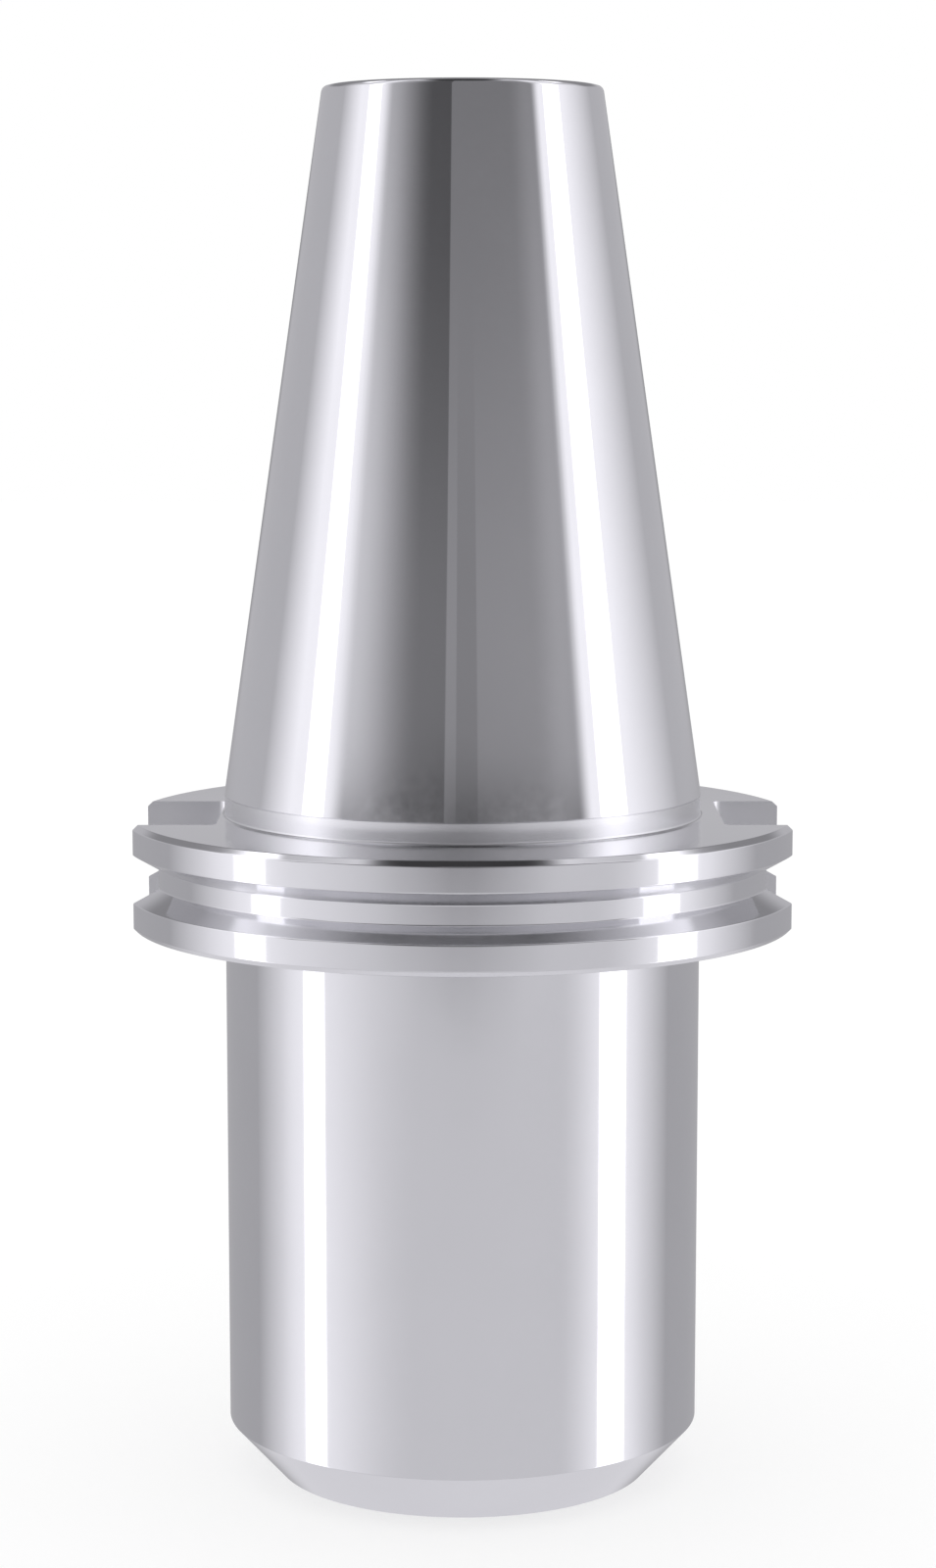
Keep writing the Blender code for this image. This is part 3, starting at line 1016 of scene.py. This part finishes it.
def body_profile(shank, nose):
    """Outline of the body: down the taper, the flange and the nose, and up the inside."""
    edge = shank.edge_break
    top = BODY_HIGH.z
    rear = REAR_HEIGHT
    front = FRONT_HEIGHT
    gauge = rear + shank.gauge_drop
    gauge_r = shank.gauge_diameter / 2
    small_r = gauge_r - (top - gauge) * shank.taper / 2
    flange_r = shank.flange_diameter / 2
    chamfer = shank.flange_chamfer
    groove = rear - shank.groove_setback
    mouth = shank.groove_width / 2
    floor = mouth - shank.groove_depth * tan(shank.groove_angle / 2)
    floor_r = flange_r - shank.groove_depth
    nose_r = nose.nose_diameter / 2
    nick = shank.gauge_nick
    shank_side = [
        (small_r, top, shank.end_round),
        (gauge_r, gauge + nick, 0.0),
        (gauge_r - nick, gauge, 0.0),
        (gauge_r, gauge - nick, 0.0),
        (gauge_r, rear, shank.collar_root),
    ]
    flange_side = [
        (flange_r - chamfer, rear, edge),
        (flange_r, rear - chamfer, edge),
        (flange_r, groove + mouth, edge),
        (floor_r, groove + floor, edge),
        (floor_r, groove - floor, edge),
        (flange_r, groove - mouth, edge),
        (flange_r, front + chamfer, edge),
        (flange_r - chamfer, front, edge),
    ]
    ring_top = front - 2 * nose.root_fillet
    rings = int((ring_top - nose.chamfer_height) / RING_SPACING)
    nose_side = [(nose_r, front, nose.root_fillet)]
    nose_side += [(nose_r, ring_top - ring * RING_SPACING, 0.0) for ring in range(rings)]
    nose_side += [(nose_r, nose.chamfer_height, edge), (nose_r - nose.chamfer_depth, 0.0, edge)]

    bore_r = nose.bore_diameter / 2
    coolant_r = nose.coolant_diameter / 2
    thread_r = nose.knob_major / 2
    pilot_r = nose.pilot_diameter / 2
    drill_slope = 1 / tan(nose.drill_angle / 2)
    tap_bottom = top - nose.knob_depth
    pilot_floor = top - nose.pilot_depth
    inside = [
        (bore_r + nose.bore_chamfer, 0.0, edge),
        (bore_r, nose.bore_chamfer, edge),
        (bore_r, nose.bore_depth, edge),
        (coolant_r, nose.bore_depth + (bore_r - coolant_r) * drill_slope, edge),
        (coolant_r, tap_bottom - (thread_r - coolant_r) * drill_slope, edge),
        (thread_r, tap_bottom, edge),
        (thread_r, pilot_floor, 0.0),
        (pilot_r, pilot_floor, 0.0),
        (pilot_r, top - nose.pilot_chamfer, edge),
        (pilot_r + nose.pilot_chamfer, top, edge),
    ]
    return rounded(shank_side + flange_side + nose_side + inside)


def sink_start(nose, screws):
    """How far from the axis each screw hole's countersink starts."""
    nose_r = nose.nose_diameter / 2
    hole_r = screws.hole_diameter / 2
    return (nose_r**2 - hole_r**2) ** 0.5 - screws.hole_sink


def make_body(context):
    """The holder's steel body, which stands for the frame's own."""
    shank = context.scene.holder_shank
    nose = context.scene.holder_nose
    screws = context.scene.holder_screws
    body = profile_object("steel_holder_body", body_profile(shank, nose))
    make_by_tree(body, body_tree(), {
        "Gauge Height": REAR_HEIGHT + shank.gauge_drop,
        "Rear Height": REAR_HEIGHT,
        "Flange Front": FRONT_HEIGHT,
        "Slot Width": shank.slot_width,
        "Slot Corner": shank.slot_corner,
        "Slot Bottom": FRONT_HEIGHT - CUTTER_OVERRUN,
        "Slot Top": REAR_HEIGHT + CUTTER_OVERRUN,
        "Slot Reach": shank.flange_diameter / 2 + CUTTER_OVERRUN,
        "Right Floor": MOUNT_POINTS["right_drive_slot_floor"][0],
        "Left Floor": MOUNT_POINTS["left_drive_slot_floor"][0],
        "Hole Count": len(SCREW_HEIGHTS),
        "Hole Start": SCREW_HEIGHTS[0],
        "Hole Spacing": SCREW_SPACING,
        "Hole Radius": screws.hole_diameter / 2,
        "Hole Reach": nose.nose_diameter / 2 + CUTTER_OVERRUN,
        "Hole Sink Start": sink_start(nose, screws),
        "Taper Steel": finish(context, "ground_taper_steel"),
        "Collar Steel": finish(context, "honed_collar_steel"),
        "Flange Steel": finish(context, "turned_flange_steel"),
        "Nose Steel": finish(context, "polished_nose_steel"),
        "Slot Steel": finish(context, "milled_slot_steel"),
        "Bore Steel": finish(context, "bored_steel"),
    })
    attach(body, "holder")
    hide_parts("holder_body")


def make_threads(context):
    """The thread in the knob's socket and the threads in the two screw holes."""
    nose = context.scene.holder_nose
    screws = context.scene.holder_screws
    bore_r = nose.bore_diameter / 2
    tree = ridges_tree()
    threads = {
        "knob_socket_thread": {
            "First": (0.0, 0.0, BODY_HIGH.z - nose.knob_depth),
            "Length": nose.knob_depth - nose.pilot_depth,
            "Pitch": nose.knob_pitch,
            "Root Radius": nose.knob_major / 2,
            "Crest Radius": nose.knob_minor / 2,
        },
        "screw_hole_threads": {
            "Count": len(SCREW_HEIGHTS),
            "First": (0.0, bore_r, SCREW_HEIGHTS[0]),
            "Spacing": (0.0, 0.0, SCREW_SPACING),
            "Turned": LAID_ALONG_Y,
            "Length": sink_start(nose, screws) - bore_r,
            "Pitch": screws.pitch,
            "Root Radius": screws.hole_diameter / 2,
            "Crest Radius": screws.hole_crest,
        },
    }
    for name, values in threads.items():
        thread = bpy.data.objects.new(name, bpy.data.meshes.new(name))
        context.scene.collection.objects.link(thread)
        make_by_tree(thread, tree, {**values, "Steel": finish(context, "bored_steel")})
        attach(thread, "holder")


def make_screws(context):
    """The two set screws, each on its own body."""
    screws = context.scene.holder_screws
    tree = screw_tree()
    edge = context.scene.holder_shank.edge_break
    for node, body in SCREWS.items():
        low, high = SCREW_BOXES[node]
        long = high.y - low.y
        root_r = screws.root_radius
        profile = rounded([
            (0.0, long, 0.0),
            (root_r - screws.end_chamfer / 2, long, edge),
            (root_r, long - screws.end_chamfer / 2, edge),
            (root_r, screws.point_length, edge),
            (screws.point_diameter / 2, 0.0, edge),
            (0.0, 0.0, 0.0),
        ])
        screw = profile_object(f"{node}_detail", profile)
        make_by_tree(screw, tree, {
            "Length": long,
            "Hex Width": screws.hex_width,
            "Hex Depth": screws.hex_depth,
            "Hex Sink": screws.hex_sink,
            "Thread Start": screws.point_length,
            "Thread Length": long - screws.point_length - screws.end_chamfer,
            "Pitch": screws.pitch,
            "Root Radius": root_r,
            "Crest Radius": screws.crest_radius,
            "Tip": low.y,
            "Height": (low.z + high.z) / 2,
            "Oxide": finish(context, "black_oxide_steel"),
        })
        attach(screw, body)
        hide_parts(node)


def band(tree, bearing, start, end, soft=0.3):
    """Mask of the bearings between two angles in degrees, with soft edges."""
    into = ramp(tree, bearing, radians(start - soft), radians(start + soft))
    out = ramp(tree, bearing, radians(end - soft), radians(end + soft))
    return math(tree, "SUBTRACT", into, out)


def turn(tree, bearing, name, smooth=True):
    """A socket that rises from 0 to 1 between the two bearings of this name."""
    low, high = TURNS[name]
    return ramp(tree, bearing, radians(low), radians(high), smooth)


def panel(tree, bearing, start, full, wane, end):
    """Mask of a side panel, which rises softly to full and then wanes in a straight line."""
    into = ramp(tree, bearing, radians(start), radians(full))
    out = ramp(tree, bearing, radians(wane), radians(end), smooth=False)
    return math(tree, "SUBTRACT", into, out)


def tilt(tree, height, low, high):
    """A socket that rises from 0 to 1 between two angles over the horizon, in degrees."""
    return ramp(tree, height, sin(radians(low)), sin(radians(high)))


def named_tilt(tree, height, name):
    """A socket that rises from 0 to 1 between the two angles of this name."""
    return tilt(tree, height, *TILTS[name])


def blend(tree, low, high, share_of_high):
    """A number between low and high."""
    inputs = {"Factor": share_of_high, "A": low, "B": high}
    return add(tree, "ShaderNodeMix", {"data_type": "FLOAT"}, inputs).outputs["Result"]


def layered(tree, ground, *layers):
    """A level with others laid over it in turn, each where its mask is."""
    for level, mask in layers:
        ground = blend(tree, ground, level, mask)
    return ground


def rectangle(tree, side, height, low, high, start, end):
    """Mask of a softbox at each side, with soft edges."""
    return product(
        tree,
        band(tree, side, start, end, LAMP_SOFT),
        tilt(tree, height, low, low + LAMP_SOFT),
        tilt(tree, height, high + LAMP_SOFT, high),
    )


def make_world(levels):
    """A soft studio: a tall tube and its panel at each side, cards in front, and a pale room.

    Bearings run from the camera, with the right-hand side positive.
    """
    world = bpy.data.worlds.new("studio")
    world.use_nodes = True
    tree = world.node_tree
    parts = separated(tree, add(tree, "ShaderNodeTexCoord").outputs["Generated"])
    height = parts["Z"]
    right = math(tree, "ARCTAN2", parts["X"], product(tree, parts["Y"], -1.0))
    left = product(tree, right, -1.0)
    side = math(tree, "ABSOLUTE", right)
    behind = ramp(tree, parts["Y"], *BEHIND)
    in_front = math(tree, "SUBTRACT", 1.0, behind)

    # The cards in front, which hang lower at the sides, and the room round them
    skyline = math(tree, "ADD", height, product(tree, side, side, SKYLINE_DROOP))
    lit = product(
        tree,
        blend(tree, 1.0, CARD_TOP_SHARE, named_tilt(tree, height, "card top")),
        blend(tree, CARD_FOOT_SHARE, 1.0, named_tilt(tree, skyline, "card foot")),
    )
    gap = product(
        tree, band(tree, right, *BANDS["card gap"]), named_tilt(tree, height, "card gap")
    )
    grey_card = blend(tree, levels.front_level, levels.middle_level, gap)
    cards = layered(
        tree,
        product(tree, levels.dark_level, lit),
        (grey_card, turn(tree, right, "grey card")),
        (levels.left_level, turn(tree, left, "left room")),
        (levels.right_level, turn(tree, right, "right room")),
    )
    rear_card = product(
        tree, turn(tree, side, "rear card"), named_tilt(tree, height, "rear card")
    )
    rear = blend(tree, levels.rear_level, levels.rear_card_level, rear_card)
    low_room = blend(tree, 1.0, levels.over_panels, named_tilt(tree, height, "over panels"))
    far_table = blend(
        tree,
        levels.horizon_level,
        FAR_TABLE_LEVEL,
        turn(tree, side, "far table", smooth=False),
    )
    horizon = product(
        tree, named_tilt(tree, skyline, "horizon"), turn(tree, side, "horizon")
    )
    left_panel = panel(tree, left, *PANELS["upper left"])
    right_panel = panel(tree, right, *PANELS["upper right"])
    upper = layered(
        tree,
        product(tree, cards, lit),
        (rear, turn(tree, side, "rear room")),
        (levels.panel_level, product(tree, left_panel, low_room)),
        (levels.panel_level, product(tree, right_panel, low_room)),
        (far_table, horizon),
    )

    # The table under the horizon, which stands higher at the sides
    lower = layered(
        tree,
        levels.table_level,
        (levels.table_rear_level, turn(tree, side, "rear table")),
        (levels.panel_level, panel(tree, left, *PANELS["lower left"])),
        (levels.panel_level, panel(tree, right, *PANELS["lower right"])),
    )
    rise = product(tree, turn(tree, side, "table rise"), TABLE_RISE)
    over_table = named_tilt(tree, math(tree, "ADD", height, rise), "over table")

    # The lamps, the ceiling, the floor round the part, and what is dark by the camera
    tubes = math(
        tree,
        "ADD",
        band(tree, left, *BANDS["left tube"]),
        band(tree, right, *BANDS["right tube"]),
    )
    lamps = [(levels.tube_level, rectangle(tree, side, height, *lamp)) for lamp in SIDE_LAMPS]
    ceiling = product(tree, named_tilt(tree, height, "ceiling"), in_front)
    rear_ceiling = product(
        tree,
        named_tilt(tree, height, "rear ceiling"),
        behind,
        turn(tree, side, "rear ceiling"),
    )
    sunk = math(tree, "SUBTRACT", height, product(tree, side, side, APRON_DROOP))
    apron = product(
        tree,
        named_tilt(tree, sunk, "apron top"),
        named_tilt(tree, sunk, "apron foot"),
        turn(tree, side, "apron"),
    )
    across = ramp(tree, math(tree, "ABSOLUTE", parts["X"]), *HOOD_WIDTH)
    leaning = math(tree, "SUBTRACT", height, product(tree, parts["Y"], HOOD_LEAN))
    studio = layered(
        tree,
        lower,
        (upper, over_table),
        (levels.tube_level, product(tree, tubes, low_room)),
        *lamps,
        (levels.overhead_level, ceiling),
        (levels.ceiling_level, rear_ceiling),
        (levels.under_level, named_tilt(tree, height, "under")),
        (levels.apron_level, apron),
        (levels.hood_level, product(tree, across, ramp(tree, leaning, *HOOD_HEIGHT))),
    )

    # Only the steel mirrors the studio. Everything else is lit by an even white.
    mirrored = add(tree, "ShaderNodeLightPath").outputs["Is Glossy Ray"]
    tint = add(tree, "ShaderNodeMix", {"data_type": "RGBA"}, {
        "Factor": mirrored,
        "A": shaded(WHITE, 1.0),
        "B": shaded(levels.light_color, 1.0),
    })
    background = tree.nodes["Background"].inputs
    tree.links.new(tint.outputs["Result"], background["Color"])
    tree.links.new(blend(tree, 1.0, studio, mirrored), background["Strength"])
    bpy.context.scene.world = world


def floor_material():
    """White table that keeps a soft shadow, and that polished steel doesn't mirror."""
    material = bpy.data.materials.new("white_table")
    material.use_nodes = True
    tree = material.node_tree
    tree.nodes.remove(tree.nodes["Principled BSDF"])
    path = add(tree, "ShaderNodeLightPath").outputs
    paint = add(tree, "ShaderNodeBsdfDiffuse", None, {"Color": shaded(WHITE, FLOOR_PAINT)})
    glow = add(tree, "ShaderNodeEmission", None, {"Color": shaded(WHITE, FLOOR_GLOW)})
    table = add(tree, "ShaderNodeAddShader", None, {0: paint.outputs[0], 1: glow.outputs[0]})
    clear = add(tree, "ShaderNodeBsdfTransparent")
    shown = add(tree, "ShaderNodeMixShader", None, {
        0: path["Is Glossy Ray"],
        1: table.outputs[0],
        2: clear.outputs[0],
    })
    tree.links.new(shown.outputs[0], tree.nodes["Material Output"].inputs["Surface"])
    return material


def make_stage(context):
    """The table under the part, the studio round it and the camera."""
    scene = context.scene
    levels = scene.holder_studio
    bpy.ops.mesh.primitive_grid_add(x_subdivisions=4, y_subdivisions=4, size=FLOOR_SIZE)
    floor = context.object
    floor.name = "table"
    floor.location.z = BODY_LOW.z - FLOOR_GAP
    floor.data.materials.append(floor_material())
    make_world(levels)

    camera_data = bpy.data.cameras.new("camera")
    camera_data.sensor_width = SENSOR_WIDTH
    camera_data.lens = LENS
    camera_data.shift_x = SHIFT_X
    camera_data.shift_y = SHIFT_Y
    camera = bpy.data.objects.new("camera", camera_data)
    camera.location = (0.0, -levels.camera_distance, levels.camera_height)
    camera.rotation_euler = (pi / 2 - levels.camera_pitch, 0.0, 0.0)
    scene.collection.objects.link(camera)
    scene.camera = camera
    scene.view_settings.view_transform = "Standard"


class HOLDER_OT_make_body(Operator):
    """Turn the steel body, cut its slots and holes, and finish each surface."""

    bl_idname = "holder.make_body"
    bl_label = "Make Body"

    def execute(self, context):
        make_body(context)
        return {"FINISHED"}


class HOLDER_OT_make_threads(Operator):
    """Tap the socket of the retention knob and the holes of the set screws."""

    bl_idname = "holder.make_threads"
    bl_label = "Make Threads"

    def execute(self, context):
        make_threads(context)
        return {"FINISHED"}


class HOLDER_OT_make_screws(Operator):
    """Make the two side-lock set screws in their holes."""

    bl_idname = "holder.make_screws"
    bl_label = "Make Set Screws"

    def execute(self, context):
        make_screws(context)
        return {"FINISHED"}


class HOLDER_OT_make_stage(Operator):
    """Set the table, the studio light and the camera."""

    bl_idname = "holder.make_stage"
    bl_label = "Make Stage"

    def execute(self, context):
        make_stage(context)
        return {"FINISHED"}


class HOLDER_PT_panel(Panel):
    """Sizes, looks and steps of the holder."""

    bl_idname = "HOLDER_PT_panel"
    bl_label = "End Mill Holder"
    bl_space_type = "VIEW_3D"
    bl_region_type = "UI"
    bl_category = "Holder"

    def draw(self, context):
        for name in SETTINGS:
            box = self.layout.box()
            settings = getattr(context.scene, name)
            for key in settings.__annotations__:
                box.prop(settings, key)
        for operator in OPERATORS:
            self.layout.operator(operator.bl_idname)


# The settings that a scene holds, and the operators in the order that they run
SETTINGS = {
    "holder_shank": ShankSizes,
    "holder_nose": NoseSizes,
    "holder_screws": ScrewSizes,
    "holder_finish": FinishLooks,
    "holder_studio": StudioLevels,
}
OPERATORS = (
    HOLDER_OT_make_body,
    HOLDER_OT_make_threads,
    HOLDER_OT_make_screws,
    HOLDER_OT_make_stage,
)
CLASSES = (*SETTINGS.values(), *OPERATORS, HOLDER_PT_panel)


def register():
    for cls in CLASSES:
        bpy.utils.register_class(cls)
    for name, group in SETTINGS.items():
        setattr(bpy.types.Scene, name, PointerProperty(type=group))


def unregister():
    for name in SETTINGS:
        delattr(bpy.types.Scene, name)
    for cls in reversed(CLASSES):
        bpy.utils.unregister_class(cls)


def main():
    register()
    bpy.ops.holder.make_body()
    bpy.ops.holder.make_threads()
    bpy.ops.holder.make_screws()
    bpy.ops.holder.make_stage()


if __name__ == "__main__":
    main()
